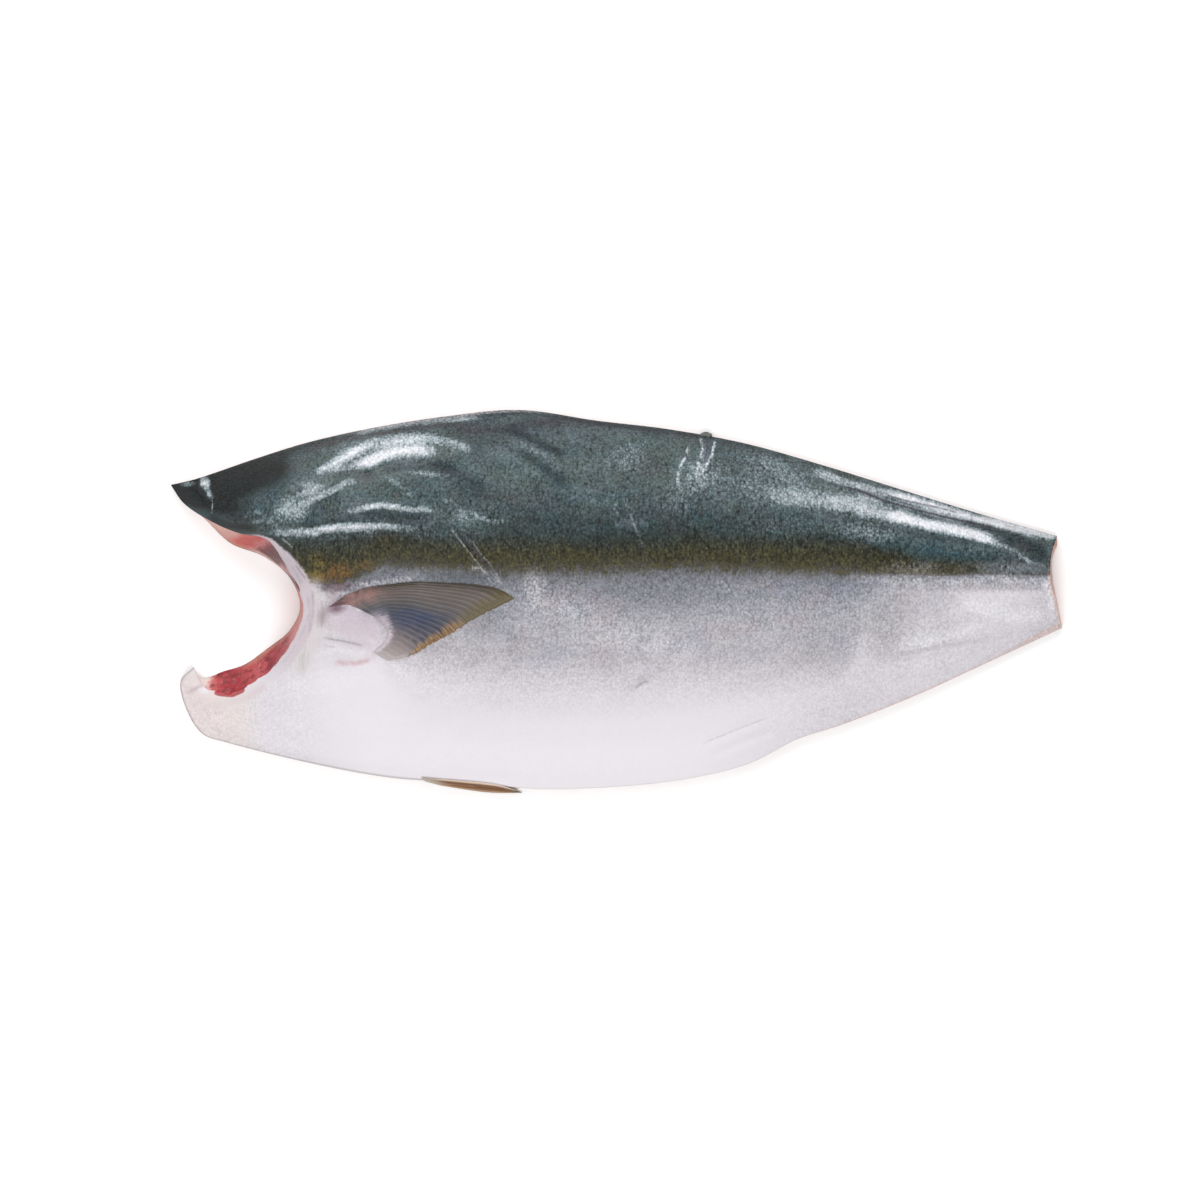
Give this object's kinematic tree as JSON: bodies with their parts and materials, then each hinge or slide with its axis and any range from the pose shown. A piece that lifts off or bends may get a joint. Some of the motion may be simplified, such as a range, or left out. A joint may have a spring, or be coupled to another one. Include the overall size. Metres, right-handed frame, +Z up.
{
  "type": "yellowtail fillet",
  "caption": "Whole side of yellowtail lying skin side up, with collar and fins on, a gill notch at the front and a square tail cut.",
  "frame": {"origin": "under the middle of the fillet's box, on the surface that it lies on", "axes": "+X from the gill notch to the tail cut, +Y from the belly to the back, +Z up out of the skin"},
  "size_m": [0.5346, 0.2298, 0.04],
  "materials": {
    "skin": "wet fish skin with fine scales: slate green back, olive band, silver flank and pearl white belly",
    "flesh": "moist raw fish flesh, pink with darker red muscle and a glossy cut",
    "fin": "thin ribbed fin, grey brown with a slate middle and an amber rim"
  },
  "bodies": {
    "root": {"fillet": "skin"}
  },
  "joints": []
}
